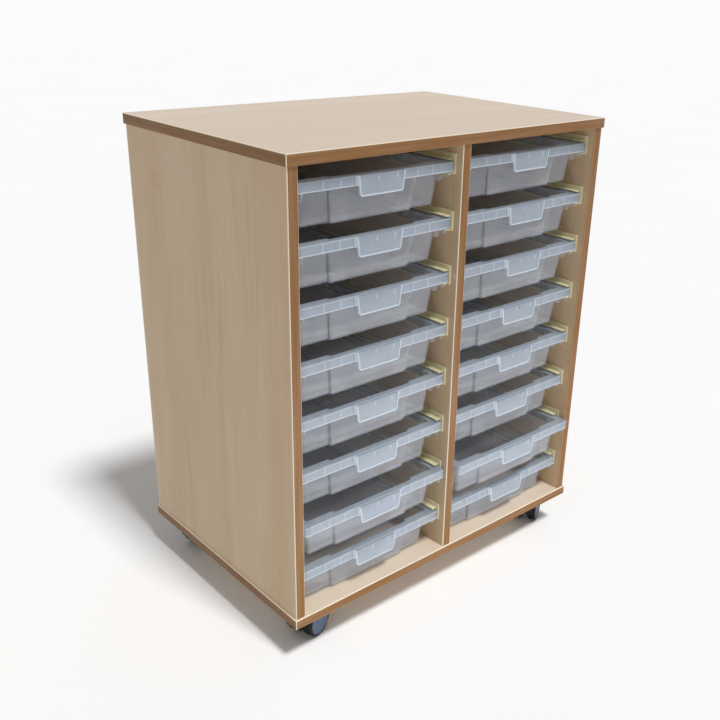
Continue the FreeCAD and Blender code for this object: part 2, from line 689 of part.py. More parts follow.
def trays():
    """All trays by name, each where it stands."""
    one = tray()
    named = {}
    for side, sign in (("left", -1), ("right", 1)):
        for row in range(ROWS):
            y = FRONT_Y + RIM_SETBACK - PULLED_OUT[side][row]
            named[f"tray_{side}_{row + 1}"] = moved(one, sign * BAY_CENTRE, y, rim_height(row))
    return named


# ---- castors -------------------------------------------------------------------------------
# A castor is drawn with its swivel axis at x = y = 0, trailing towards +X, on the floor.
def screw_spots():
    """Screw places about a castor's swivel axis."""
    half = CASTOR_SCREW_SPACING / 2
    return [(x, y) for x in (-half, half) for y in (-half, half)]


def castor_plate():
    half = CASTOR_PLATE / 2
    outline = rounded_outline(
        -half, half, -half, half, CASTOR_PLATE_RADIUS, CASTOR_HEIGHT - CASTOR_PLATE_THICKNESS)
    holes = [
        cylinder(PLATE_HOLE_RADIUS, (x, y, 0), (x, y, CASTOR_HEIGHT)) for x, y in screw_spots()
    ]
    rivet_hole = cylinder(KINGPIN_RADIUS + PRESS_CLEARANCE, (0, 0, 0), (0, 0, CASTOR_HEIGHT))
    return slab(outline, CASTOR_PLATE_THICKNESS).cut(holes + [rivet_hole])


def kingpin():
    return cylinder(KINGPIN_RADIUS, (0, 0, CASTOR_HEIGHT - KINGPIN_LENGTH), (0, 0, CASTOR_HEIGHT))


def castor_screw():
    """A pan-head screw that points up, with the plate's underside at z = 0."""
    head = cylinder(CASTOR_SCREW_HEAD_RADIUS, (0, 0, -CASTOR_SCREW_HEAD_HEIGHT), (0, 0, 0))
    rounded = head.makeFillet(
        CASTOR_SCREW_HEAD_HEIGHT / 2,
        [edge for edge in head.Edges if lies_on(edge, "z", -CASTOR_SCREW_HEAD_HEIGHT)])
    length = CASTOR_PLATE_THICKNESS + CASTOR_SCREW_GRIP
    return rounded.fuse(cylinder(CASTOR_SCREW_RADIUS, (0, 0, 0), (0, 0, length))).removeSplitter()


def at_castor_screws(shape):
    """Copies of a shape at every castor screw, from the plates' undersides up."""
    return [
        moved(shape, centre_x + x, centre_y + y, CASTOR_HEIGHT - CASTOR_PLATE_THICKNESS)
        for centre_x, centre_y in CASTOR_PLACES.values() for x, y in screw_spots()
    ]


def castor_pilot_holes():
    length = CASTOR_PLATE_THICKNESS + CASTOR_SCREW_GRIP + DOWEL_END_GAP
    return at_castor_screws(cylinder(CASTOR_SCREW_RADIUS + PRESS_CLEARANCE, (0, 0, 0), (0, 0, length)))


def about_axle(radius, angle, y):
    """A point in the castor's middle plane, given by its angle about the axle."""
    turn = math.radians(angle)
    return (TRAIL + radius * math.cos(turn), y, WHEEL_RADIUS + radius * math.sin(turn))


def across(radius, x, z, half):
    """A cylinder across the castor, about its middle plane."""
    return cylinder(radius, (x, -half, z), (x, half, z))


def hood():
    """The curved guard over the swivel's side of both wheels."""
    inner = WHEEL_RADIUS + HOOD_GAP
    outer = inner + HOOD_THICKNESS
    middle = (HOOD_START_ANGLE + HOOD_END_ANGLE) / 2

    def at(radius, angle):
        return FreeCAD.Vector(*about_axle(radius, angle, -WHEEL_OUTER))

    outline = Part.Wire([
        Part.Arc(at(inner, HOOD_START_ANGLE), at(inner, middle), at(inner, HOOD_END_ANGLE)).toShape(),
        Part.LineSegment(at(inner, HOOD_END_ANGLE), at(outer, HOOD_END_ANGLE)).toShape(),
        Part.Arc(at(outer, HOOD_END_ANGLE), at(outer, middle), at(outer, HOOD_START_ANGLE)).toShape(),
        Part.LineSegment(at(outer, HOOD_START_ANGLE), at(inner, HOOD_START_ANGLE)).toShape(),
    ])
    return Part.Face(outline).extrude(FreeCAD.Vector(0, 2 * WHEEL_OUTER, 0))


def housing_web():
    """The plate between the wheels, from the swivel's boss down to the axle."""
    half = WEB_WIDTH / 2
    boss_foot = HOUSING_TOP - BOSS_HEIGHT / 2
    outline = [
        (-BOSS_RADIUS, -half, boss_foot),
        (BOSS_RADIUS, -half, boss_foot),
        about_axle(AXLE_BOSS_RADIUS, WEB_TRAILING_ANGLE, -half),
        about_axle(AXLE_BOSS_RADIUS, WEB_LOWER_ANGLE, -half),
        about_axle(WHEEL_RADIUS + HOOD_GAP, WEB_HOOD_ANGLE, -half),
        about_axle(WHEEL_RADIUS + HOOD_GAP, WEB_HEAD_ANGLE, -half),
    ]
    return prism(outline, FreeCAD.Vector(0, WEB_WIDTH, 0))


def pedal_pivot():
    x, _, z = about_axle(WHEEL_RADIUS + HOOD_GAP + HOOD_THICKNESS + PEDAL_STANDOFF, PEDAL_ANGLE, 0.0)
    return x, z


def pedal_ears():
    """Two ears on the hood that hold the brake pedal's pins."""
    pivot_x, pivot_z = pedal_pivot()
    root_x, _, root_z = about_axle(WHEEL_RADIUS + HOOD_GAP + HOOD_THICKNESS / 2, PEDAL_ANGLE, 0.0)
    start = PEDAL_WIDTH / 2 + PEDAL_SIDE_GAP
    ears = []
    for sign in (-1, 1):
        y0, y1 = sorted((sign * start, sign * (start + PEDAL_EAR_THICKNESS)))
        eye = cylinder(PEDAL_BARREL_RADIUS, (pivot_x, y0, pivot_z), (pivot_x, y1, pivot_z))
        arm = Part.makeBox(
            PEDAL_STANDOFF + HOOD_THICKNESS / 2, PEDAL_EAR_THICKNESS, 2 * PEDAL_BARREL_RADIUS,
            FreeCAD.Vector(0, y0, -PEDAL_BARREL_RADIUS))
        arm.rotate(FreeCAD.Vector(0, 0, 0), Y_AXIS, -PEDAL_ANGLE)
        ears += [eye, moved(arm, root_x, 0, root_z)]
    return ears


def castor_housing(braked):
    half = WEB_WIDTH / 2
    boss = cylinder(BOSS_RADIUS, (0, 0, HOUSING_TOP - BOSS_HEIGHT), (0, 0, HOUSING_TOP))
    axle_boss = across(AXLE_BOSS_RADIUS, TRAIL, WHEEL_RADIUS, half)
    pieces = [boss, housing_web(), axle_boss, hood()]
    pivot_x, pivot_z = pedal_pivot()
    kingpin_bore = cylinder(
        KINGPIN_RADIUS + RUNNING_CLEARANCE,
        (0, 0, CASTOR_HEIGHT - KINGPIN_LENGTH - SWIVEL_GAP), (0, 0, CASTOR_HEIGHT))
    cuts = [kingpin_bore, across(AXLE_RADIUS + PRESS_CLEARANCE, TRAIL, WHEEL_RADIUS, WHEEL_OUTER)]
    if braked:
        pieces += pedal_ears()
        cuts.append(across(PEDAL_PIN_RADIUS + RUNNING_CLEARANCE, pivot_x, pivot_z, WHEEL_OUTER))
    return fuse(pieces).cut(cuts)


def castor_axle():
    reach = WHEEL_OUTER - WHEEL_FACE_SKIN - RUNNING_CLEARANCE
    return across(AXLE_RADIUS, TRAIL, WHEEL_RADIUS, reach)


def wheel_core():
    """The wheel's disc, centred on the axle's line, with its inner face at y = 0."""
    disc = cylinder(CORE_RADIUS - TYRE_FIT, (0, 0, 0), (0, WHEEL_WIDTH, 0))
    rim_radius = CORE_RADIUS - TYRE_FIT - WHEEL_FACE_RECESS
    dish = Part.makeCone(
        rim_radius - 2 * WHEEL_FACE_RECESS, rim_radius, WHEEL_FACE_RECESS,
        FreeCAD.Vector(0, WHEEL_WIDTH - WHEEL_FACE_RECESS, 0), Y_AXIS)
    cap = Part.makeCone(
        WHEEL_HUB_RADIUS, WHEEL_HUB_RADIUS - WHEEL_FACE_RECESS, WHEEL_FACE_RECESS,
        FreeCAD.Vector(0, WHEEL_WIDTH - WHEEL_FACE_RECESS, 0), Y_AXIS)
    bore = cylinder(AXLE_RADIUS + RUNNING_CLEARANCE, (0, 0, 0), (0, WHEEL_WIDTH - WHEEL_FACE_SKIN, 0))
    return disc.cut(dish).fuse(cap).removeSplitter().cut(bore)


def tyre():
    ring = cylinder(WHEEL_RADIUS, (0, 0, 0), (0, WHEEL_WIDTH, 0))
    shoulders = [
        edge for edge in ring.Edges if lies_on(edge, "y", 0.0) or lies_on(edge, "y", WHEEL_WIDTH)
    ]
    rounded = ring.makeFillet(TYRE_SHOULDER, shoulders)
    return rounded.cut(cylinder(CORE_RADIUS, (0, 0, 0), (0, WHEEL_WIDTH, 0)))


def castor_wheel(sign):
    """One of a castor's twin wheels: sign is -1 for the one at -Y and 1 for the one at +Y."""
    solids = [wheel_core(), tyre()]
    placed = [moved(solid, TRAIL, WHEEL_INNER, WHEEL_RADIUS) for solid in solids]
    if sign < 0:
        placed = [solid.mirror(FreeCAD.Vector(0, 0, 0), Y_AXIS) for solid in placed]
    return group(placed)


def brake_pedal():
    """A pedal blade on a barrel, with a pin at each end of the barrel."""
    pivot_x, pivot_z = pedal_pivot()
    half = PEDAL_WIDTH / 2
    barrel = across(PEDAL_BARREL_RADIUS, pivot_x, pivot_z, half)
    pins = across(PEDAL_PIN_RADIUS, pivot_x, pivot_z, half + PEDAL_SIDE_GAP + PEDAL_EAR_THICKNESS)
    blade = Part.makeBox(
        PEDAL_LENGTH, PEDAL_WIDTH, PEDAL_THICKNESS, FreeCAD.Vector(0, -half, -PEDAL_THICKNESS / 2))
    outer = [edge for edge in blade.Edges if lies_on(edge, "x", PEDAL_LENGTH) and edge.Length < PEDAL_WIDTH]
    blade = blade.makeFillet(PEDAL_THICKNESS, outer)
    blade.rotate(FreeCAD.Vector(0, 0, 0), Y_AXIS, 180 - PEDAL_DROOP_ANGLE)
    return fuse([barrel, pins, moved(blade, pivot_x, 0, pivot_z)])


def at_castor(shape, corner):
    """A castor's piece, turned to its heading and set under its corner."""
    placed = shape.copy()
    placed.rotate(FreeCAD.Vector(0, 0, 0), Z_AXIS, CASTOR_HEADING[corner])
    x, y = CASTOR_PLACES[corner]
    return moved(placed, x, y)


def castor_nodes(corner):
    """The pieces of one castor, by name. The plate is square to the unit."""
    braked = corner in BRAKED
    name = f"{corner}_castor"
    x, y = CASTOR_PLACES[corner]
    nodes = {
        f"{name}_plate": moved(castor_plate(), x, y),
        f"{name}_housing": at_castor(castor_housing(braked), corner),
        f"{name}_axle": at_castor(castor_axle(), corner),
        f"{name}_wheel_a": at_castor(castor_wheel(-1), corner),
        f"{name}_wheel_b": at_castor(castor_wheel(1), corner),
    }
    if braked:
        nodes[f"{name}_brake_pedal"] = at_castor(brake_pedal(), corner)
    return nodes


# ---- the unit ------------------------------------------------------------------------------
def all_nodes():
    nodes = {
        "top_panel": level_board(BOARD_TOP),
        "base_panel": base_panel(),
        "left_side_panel": side_panel(-1),
        "right_side_panel": side_panel(1),
        "centre_divider": centre_divider(),
        "back_panel": back_panel(),
        "top_edging": board_edging(BOARD_TOP),
        "base_edging": board_edging(BASE_BOTTOM),
        "left_side_edging": side_edging(-1),
        "right_side_edging": side_edging(1),
        "divider_edging": divider_edging(),
        "carcass_dowels": group(dowels()),
        "runner_screws": runner_screws(),
        "castor_screws": group(at_castor_screws(castor_screw())),
        "castor_kingpins": group([moved(kingpin(), x, y) for x, y in CASTOR_PLACES.values()]),
    }
    for name, (plane, sign) in bay_walls().items():
        nodes[name] = runner_set(plane, sign)
    nodes.update(trays())
    for corner in CASTOR_PLACES:
        nodes.update(castor_nodes(corner))
    return nodes


os.makedirs("parts", exist_ok=True)
for node_name, node_shape in all_nodes().items():
    node_shape.exportStep(os.path.join("parts", f"{node_name}.step"))
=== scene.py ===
import json
import math

import bpy
from bpy.props import FloatProperty, FloatVectorProperty, PointerProperty
from mathutils import Matrix, Vector


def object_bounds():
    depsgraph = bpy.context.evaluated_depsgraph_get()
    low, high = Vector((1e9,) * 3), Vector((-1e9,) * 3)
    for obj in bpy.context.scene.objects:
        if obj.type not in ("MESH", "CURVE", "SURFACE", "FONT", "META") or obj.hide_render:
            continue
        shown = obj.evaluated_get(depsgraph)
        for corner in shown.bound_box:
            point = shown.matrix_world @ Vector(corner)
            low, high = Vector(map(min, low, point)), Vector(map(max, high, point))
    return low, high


bl_info = {
    "name": "Tray storage unit",
    "version": (1, 0, 0),
    "blender": (4, 5, 0),
    "location": "View3D > Sidebar > Tray Unit",
    "description": "Finishes, stage and camera for a classroom tray storage unit",
    "category": "Object",
}

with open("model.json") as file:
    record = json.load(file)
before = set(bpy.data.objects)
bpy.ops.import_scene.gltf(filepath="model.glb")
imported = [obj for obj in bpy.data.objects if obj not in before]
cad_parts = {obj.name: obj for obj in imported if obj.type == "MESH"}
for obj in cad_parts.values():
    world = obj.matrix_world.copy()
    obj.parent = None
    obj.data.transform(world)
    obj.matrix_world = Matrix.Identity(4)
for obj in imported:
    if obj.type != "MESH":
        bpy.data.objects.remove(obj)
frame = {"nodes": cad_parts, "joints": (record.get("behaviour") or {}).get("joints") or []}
CAD_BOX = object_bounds()
NODES = frame["nodes"]
JOINTS = {joint["name"]: joint for joint in frame["joints"]}

# Places on a tray, in metres: across from its middle, back from its rim's front, and down from
# its rim's top. A pair gives the two ends of a fade.
HANDLE_PROUD = 0.005
HANDLE_TOP_HALF = 0.0455
HANDLE_DROP = 0.0315
HANDLE_SLOPE = 0.127          # how much a side of the handle leans in as it goes down
HANDLE_FACE = (-0.0012, -0.0006)
HANDLE_BORDER = (0.0018, 0.0030)
SKIRT_DROP = 0.0155
SKIRT_FADE = 0.0004
SKIRT_FACE = (0.0022, 0.0028)
SKIRT_BACK = (0.0160, 0.0166)
LEDGE = (0.0024, 0.0028)
RIB_PLACES = (0.0745, 0.1065)
WALL_START = (0.0060, 0.0070)
BULGE_HALF = 0.0850
BULGE_DEPTH = (0.019, 0.021)
FOOT_DROP = 0.0590
FOOT_FADE = 0.0006
CREASE_DEPTH = (0.030, 0.034)
PIP_PLACES = (-0.006, 0.030)
PIP_DROP = 0.0065
PIP_FACE = (0.0030, 0.0040)

# Places on the boards, in metres: centre and half sizes.
BURL = (-0.345, 0.146, 0.753)
BURL_SIZE = (0.004, 0.024, 0.020)
CHIP = (-0.009, -0.2202, 0.6151)
CHIP_SIZE = (0.004, 0.0013, 0.0038)
CHIP_LEAN = 0.35

# Grain of the facing: noise scales per metre, along and across it.
GRAIN = {"bands": (0.9, 14.0), "figure": (2.2, 45.0), "fibres": (9.0, 620.0), "flecks": (60.0, 1500.0)}
TOP_SHEEN_SHARE = 0.42              # how much painted sheen, a paler greyer tone, the top panel takes on
BASE_LIGHT_SHARE = 0.7              # how much painted light, a paler tone, the base panel takes on
UNDERSIDE = 4.0               # keeps the pale trim off the strips' corners that face down: painted shade, as those corners lie in shadow

DISC_EDGE = (0.0255, 0.0259)  # radii between which a castor's disc gives way to its tyre
DUST = (150, 148, 142)

# Camera: place in metres, angles in degrees, the rest in pixels of a square picture.
PICTURE_SIDE = 720.0
SENSOR = 36.0                 # millimetres
CAMERA_PLACE = Vector((-1.0446593, -1.2286906, 1.0589012))
CAMERA_TURN = math.radians(42.5538)     # clockwise from +Y, seen from above
CAMERA_DIP = math.radians(22.9683)
CAMERA_ROLL = math.radians(1.7339)
FOCAL_PIXELS = 906.1306
AXIS_PIXEL = (402.808, 368.038)
CLIP = (0.05, 100)

# Stage, in metres.
FLOOR_REACH = 30.0
FLOOR_DRIFT = 0.99            # the floor's darker drifts, as a share of its tone
KEY_TOWARD = (0.02, -0.46, 1.0)
KEY_ANGLE = math.radians(10)
LOW_SIZE = (1.2, 0.2)
LOW_AHEAD = 0.5               # in front of the part
LOW_HEIGHT = 0.03
LOW_BACK = (0, -1.0, -0.8)    # the way that the lamp's back faces

TRANSPARENT_BOUNCES = 48      # enough for a line of sight through a whole row of trays
DIFFUSE_BOUNCES = 8


# ---- shader writing ------------------------------------------------------------------------
class Signal:
    """A socket in a material, with Python arithmetic that adds Math nodes."""

    def __init__(self, finish, socket):
        self.finish = finish
        self.socket = socket

    def math(self, operation, *others):
        return self.finish.math(operation, self, *others)

    def __add__(self, other):
        return self.math("ADD", other)

    def __radd__(self, other):
        return self.math("ADD", other)

    def __sub__(self, other):
        return self.math("SUBTRACT", other)

    def __rsub__(self, other):
        return self.finish.math("SUBTRACT", other, self)

    def __mul__(self, other):
        return self.math("MULTIPLY", other)

    def __rmul__(self, other):
        return self.math("MULTIPLY", other)

    def __truediv__(self, other):
        return self.math("DIVIDE", other)

    def __rtruediv__(self, other):
        return self.finish.math("DIVIDE", other, self)

    def __abs__(self):
        return self.math("ABSOLUTE")

    def __pow__(self, other):
        return self.math("POWER", other)


class Finish:
    """A procedural material, or a world, that is written node by node."""

    def __init__(self, name, world=False):
        self.owner = (bpy.data.worlds if world else bpy.data.materials).new(name)
        self.owner.use_nodes = True
        self.tree = self.owner.node_tree
        self.tree.nodes.clear()

    def node(self, kind, settings=None, values=None, output=0):
        """Adds a node: its settings first, then the values or links of its sockets."""
        made = self.tree.nodes.new(kind)
        for key, value in (settings or {}).items():
            setattr(made, key, value)
        for key, value in (values or {}).items():
            socket = made.inputs[key]
            if isinstance(value, Signal):
                self.tree.links.new(value.socket, socket)
            elif socket.type == "RGBA" and len(value) == 3:
                socket.default_value = (*value, 1.0)
            else:
                socket.default_value = value
        return Signal(self, made.outputs[output]) if made.outputs else None

    def math(self, operation, *terms):
        """A Math node on signals and numbers."""
        return self.node("ShaderNodeMath", {"operation": operation}, dict(enumerate(terms)))

    def coordinates(self, output="Object"):
        """A place or a normal in the part's own axes."""
        return self.node("ShaderNodeTexCoord", output=output)

    def split(self, vector):
        """The three signals of a vector."""
        parts = self.node("ShaderNodeSeparateXYZ", values={0: vector})
        outputs = parts.socket.node.outputs
        return [Signal(self, outputs[index]) for index in range(3)]

    def join(self, x, y, z):
        """A vector from three signals or numbers."""
        return self.node("ShaderNodeCombineXYZ", values={0: x, 1: y, 2: z})

    def noise(self, vector, scale=1.0, detail=2.0, roughness=0.5, distortion=0.0):
        """Smooth noise, about 0.5 on average."""
        return self.node("ShaderNodeTexNoise", values={
            "Vector": vector, "Scale": scale, "Detail": detail,
            "Roughness": roughness, "Distortion": distortion,
        })

    def ramp(self, value, low, high, start=0.0, end=1.0):
        """A value carried smoothly from start to end while it goes from low to high."""
        return self.node(
            "ShaderNodeMapRange", {"interpolation_type": "SMOOTHSTEP"},
            {0: value, 1: low, 2: high, 3: start, 4: end})

    def before(self, value, ends):
        """1 below the first of two ends, fading to 0 at the second."""
        return self.ramp(value, *ends, 1.0, 0.0)

    def band(self, value, centre, half, soft):
        """1 where a value lies within a half width of a centre, fading to 0 outside."""
        return self.before(abs(value - centre), (half, half + soft))

    def least(self, first, *others):
        """The smallest of some signals."""
        for other in others:
            first = self.math("MINIMUM", first, other)
        return first

    def most(self, first, *others):
        """The largest of some signals."""
        for other in others:
            first = self.math("MAXIMUM", first, other)
        return first

    def mix(self, factor, first, second):
        """A mix of two colours."""
        return self.node(
            "ShaderNodeMix", {"data_type": "RGBA"}, {0: factor, 6: first, 7: second}, output=2)

    def mix_value(self, factor, first, second):
        """A mix of two numbers."""
        return self.node("ShaderNodeMix", {"data_type": "FLOAT"}, {0: factor, 2: first, 3: second})

    def bump(self, height, strength, distance):
        """A normal for fine relief."""
        return self.node(
            "ShaderNodeBump", values={"Height": height, "Strength": strength, "Distance": distance})

    def surface(self, **sockets):
        """The Principled shader and the output. Socket names have spaces for underscores."""
        values = {key.replace("_", " "): value for key, value in sockets.items()}
        shader = self.node("ShaderNodeBsdfPrincipled", values=values)
        self.node("ShaderNodeOutputMaterial", values={"Surface": shader})
        return self.owner


def linear(red, green, blue):
    """A screen colour, 0 to 255, as linear light."""
    def one(value):
        share = value / 255
        return share / 12.92 if share <= 0.04045 else ((share + 0.055) / 1.055) ** 2.4
    return (one(red), one(green), one(blue))


def dress(node, material):
    """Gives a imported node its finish."""
    mesh = NODES[node].data
    mesh.materials.clear()
    mesh.materials.append(material)


# ---- properties ----------------------------------------------------------------------------
class BoardLook(bpy.types.PropertyGroup):
    """Tones of the faced boards"""
    colour: FloatVectorProperty(
        name="Facing", description="Main tone of the faced board", subtype="COLOR",
        default=linear(195, 168, 132), min=0, max=1)
    streak: FloatVectorProperty(
        name="Streaks", description="Tone of the grain's darker streaks", subtype="COLOR",
        default=linear(183, 153, 116), min=0, max=1)
    pale: FloatVectorProperty(
        name="Pale figure", description="Tone of the grain's pale bands", subtype="COLOR",
        default=linear(201, 178, 150), min=0, max=1)
    # painted sheen: a paler greyer tone that the top panel takes on for the sheen on its level face
    top: FloatVectorProperty(
        name="Top painted sheen", description="Greyer tone that the top takes on", subtype="COLOR",
        default=linear(204, 196, 189), min=0, max=1)
    # painted light: a paler tone that the base panel takes on for the light on its level face
    base: FloatVectorProperty(
        name="Base painted light", description="Paler tone that the base takes on", subtype="COLOR",
        default=linear(230, 216, 198), min=0, max=1)
    burl: FloatVectorProperty(
        name="Burl", description="Tone of the small burl's specks", subtype="COLOR",
        default=linear(184, 141, 112), min=0, max=1)
    chip: FloatVectorProperty(
        name="Chip", description="Tone of the small chip in the facing", subtype="COLOR",
        default=linear(250, 240, 238), min=0, max=1)


class EdgingLook(bpy.types.PropertyGroup):
    """Tones of the edging strips"""
    colour: FloatVectorProperty(
        name="Edging", description="Tone of the edging strip", subtype="COLOR",
        default=linear(132, 93, 54), min=0, max=1)
    line: FloatVectorProperty(
        name="Lines", description="Tone of the fine dark lines in the strip", subtype="COLOR",
        default=linear(112, 76, 43), min=0, max=1)
    core: FloatVectorProperty(
        name="Trimmed core", description="Tone of the strip's body where it is trimmed",
        subtype="COLOR", default=linear(225, 212, 190), min=0, max=1)
    # painted shade: a darker tone for the right side's trimmed corners, which lie in shadow
    shaded_trim: FloatVectorProperty(
        name="Shaded trim", description="Tone of the right side's trimmed corners", subtype="COLOR",
        default=linear(165, 130, 96), min=0, max=1)


class RunnerLook(bpy.types.PropertyGroup):
    """Tone of the runners"""
    colour: FloatVectorProperty(
        name="Runners", description="Tone of the moulded runners", subtype="COLOR",
        default=linear(216, 209, 172), min=0, max=1)


class TrayLook(bpy.types.PropertyGroup):
    """Tones and opacities of the trays"""
    colour: FloatVectorProperty(
        name="Trays", description="Main tone of the translucent trays", subtype="COLOR",
        default=linear(202, 206, 214), min=0, max=1)
    shade: FloatVectorProperty(
        name="Shade", description="Tone of the plastic's darker clouds", subtype="COLOR",
        default=linear(190, 194, 203), min=0, max=1)
    rim: FloatVectorProperty(
        name="Rims", description="Tone of the rims and handles", subtype="COLOR",
        default=linear(168, 179, 192), min=0, max=1)
    edge: FloatVectorProperty(
        name="Edges", description="Tone where the plastic is thick", subtype="COLOR",
        default=linear(207, 218, 228), min=0, max=1)
    crease: FloatVectorProperty(
        name="Crease", description="Tone of the line above a tray's foot", subtype="COLOR",
        default=linear(205, 185, 165), min=0, max=1)
    wall_opacity: FloatProperty(
        name="Wall opacity", description="Opacity of each face of a tray's walls",
        default=0.24, min=0, max=1, subtype="FACTOR")
    rim_opacity: FloatProperty(
        name="Rim opacity", description="Opacity of each face of the rim",
        default=0.42, min=0, max=1, subtype="FACTOR")
    handle_opacity: FloatProperty(
        name="Handle opacity", description="Opacity of each face of the handle",
        default=0.42, min=0, max=1, subtype="FACTOR")
    edge_opacity: FloatProperty(
        name="Edge opacity", description="Opacity of each face where the plastic is thick",
        default=0.6, min=0, max=1, subtype="FACTOR")


class CastorLook(bpy.types.PropertyGroup):
    """Tones of the castors"""
    housing: FloatVectorProperty(
        name="Housings", description="Tone of the moulded housings", subtype="COLOR",
        default=linear(8, 8, 9), min=0, max=1)
    disc: FloatVectorProperty(
        name="Discs", description="Tone of the wheel discs", subtype="COLOR",
        default=linear(86, 99, 119), min=0, max=1)
    tyre: FloatVectorProperty(
        name="Tyres", description="Tone of the tyres", subtype="COLOR",
        default=linear(6, 6, 7), min=0, max=1)


class StageLook(bpy.types.PropertyGroup):
    """Floor, backdrop and light"""
    floor: FloatVectorProperty(
        name="Floor", description="Tone of the floor", subtype="COLOR",
        default=(0.955, 0.957, 0.96), min=0, max=1)
    backdrop: FloatProperty(
        name="Backdrop", description="Brightness of the backdrop, where 1 is white",
        default=0.975, min=0)
    key: FloatProperty(name="Key light", description="Strength of the main light", default=2.35, min=0)
    low: FloatProperty(
        name="Low light", description="Power of the low light in front", default=4.0, min=0)
    ambient: FloatProperty(
        name="Ambient", description="Strength of the light all round", default=0.32, min=0)


# ---- finishes ------------------------------------------------------------------------------
def spot(finish, place, centre, sizes, lean=0.0):
    """1 inside a small ellipsoid with the given half sizes, fading to 0 at its surface."""
    x, y, z = (place[axis] - centre[axis] for axis in range(3))
    parts = (x, y - z * lean, z)
    squares = [(part / size) ** 2.0 for part, size in zip(parts, sizes)]
    return finish.ramp(squares[0] + squares[1] + squares[2], 0.4, 1.0, 1.0, 0.0)


def marked(finish, place, tone, look):
    """The small burl on the left panel's outside, and the chip on the divider's left face."""
    specks = finish.noise(finish.join(place[0], place[1] * 1.6, place[2]), scale=190.0, detail=3.0)
    burl = spot(finish, place, BURL, BURL_SIZE)
    tone = finish.mix(finish.ramp(specks, 0.48, 0.6) * burl * 0.5, tone, tuple(look.burl))
    chip = spot(finish, place, CHIP, CHIP_SIZE, CHIP_LEAN)
    return finish.mix(chip, tone, tuple(look.chip))


def faced_board(look, name, along, painted_light_tone=None, share=0.0, marks=False):
    """Maple-effect facing with its grain along axis 0, 1 or 2, and a share of a given tone mixed in:
    painted sheen on the top panel, painted light on the base panel.
    """
    finish = Finish(name)
    place = finish.split(finish.coordinates())
    across = [axis for axis in range(3) if axis != along]

    def grain(layer, **settings):
        along_scale, across_scale = GRAIN[layer]
        parts = [None, None, None]
        parts[along] = place[along] * along_scale
        for axis in across:
            parts[axis] = place[axis] * across_scale
        return finish.noise(finish.join(*parts), **settings)

    bands = grain("bands", detail=3.0, distortion=0.6)
    figure = grain("figure", detail=4.0, distortion=0.35)
    fibres = grain("fibres", detail=3.0, roughness=0.6)
    flecks = grain("flecks", detail=1.0)
    tone = finish.mix(finish.ramp(bands, 0.35, 0.7), tuple(look.colour), tuple(look.pale))
    tone = finish.mix(finish.ramp(figure, 0.5, 0.78) * 0.65, tone, tuple(look.streak))
    tone = finish.mix(finish.ramp(fibres, 0.45, 0.75) * 0.42, tone, tuple(look.streak))
    tone = finish.mix(finish.ramp(flecks, 0.68, 0.8) * 0.3, tone, tuple(look.streak))
    # painted sheen on the top panel and painted light on the base panel: a share of a paler tone mixed
    # into the facing
    if painted_light_tone:
        tone = finish.mix(share, tone, tuple(painted_light_tone))
    if marks:
        tone = marked(finish, place, tone, look)
    rough = finish.ramp(fibres, 0.3, 0.8, 0.38, 0.5)
    height = fibres * 0.6 + flecks * 0.4
    return finish.surface(
        Base_Color=tone, Roughness=rough, Specular_IOR_Level=0.35,
        Normal=finish.bump(height, 0.08, 0.0002))


def edging(look, name, upright, trim):
    """Brown edging strip with fine lines along it, and another tone at its trimmed corners; on level
    strips the corners that face down keep the brown tone as painted shade.
    """
    finish = Finish(name)
    x, y, z = finish.split(finish.coordinates())
    along, across = (z, x + y) if upright else (x + y, z)
    lines = finish.noise(finish.join(along * 3.0, across * 900.0, 0.0), detail=2.0, roughness=0.6)
    fleck = finish.noise(finish.join(along * 40.0, across * 1400.0, 0.0), detail=2.0)
    wide = finish.noise(finish.join(along * 6.0, across * 160.0, 0.0), detail=1.0)
    tone = finish.mix(finish.ramp(lines, 0.4, 0.72) * 0.8, tuple(look.colour), tuple(look.line))
    tone = finish.mix(finish.ramp(fleck, 0.55, 0.8) * 0.35, tone, tuple(look.line))
    tone = finish.mix(finish.ramp(wide, 0.35, 0.7) * 0.06, tone, tuple(look.core))
    nx, ny, nz = finish.split(finish.coordinates("Normal"))
    # painted shade: on level strips the trimmed corners that face down keep the brown tone, as they lie
    # in shadow
    face = abs(ny) if upright else finish.most(abs(nx), abs(ny), nz * -UNDERSIDE)
    flat = finish.ramp(face, 0.93, 0.99)
    tone = finish.mix(flat, tuple(trim), tone)
    return finish.surface(
        Base_Color=tone, Roughness=finish.ramp(lines, 0.2, 0.8, 0.4, 0.5), Specular_IOR_Level=0.18,
        Normal=finish.bump(lines, 0.06, 0.0002))


def moulded(name, colour, rough, grain=0.0003, vary=0.08, scale=500.0, gloss=0.5):
    """Plain moulded plastic or metal with a fine texture and a slight change of tone."""
    finish = Finish(name)
    place = finish.coordinates()
    broad = finish.noise(place, scale=22.0, detail=3.0)
    fine = finish.noise(place, scale=scale, detail=2.0)
    dark = tuple(value * (1 - vary) for value in colour)
    bright = tuple(min(value * (1 + vary) + vary * 0.01, 1.0) for value in colour)
    tone = finish.mix(finish.ramp(broad, 0.3, 0.7), dark, bright)
    return finish.surface(
        Base_Color=tone, Roughness=finish.ramp(fine, 0.3, 0.7, rough - 0.05, rough + 0.08),
        Specular_IOR_Level=gloss,
        Normal=finish.bump(fine, 0.15, grain))


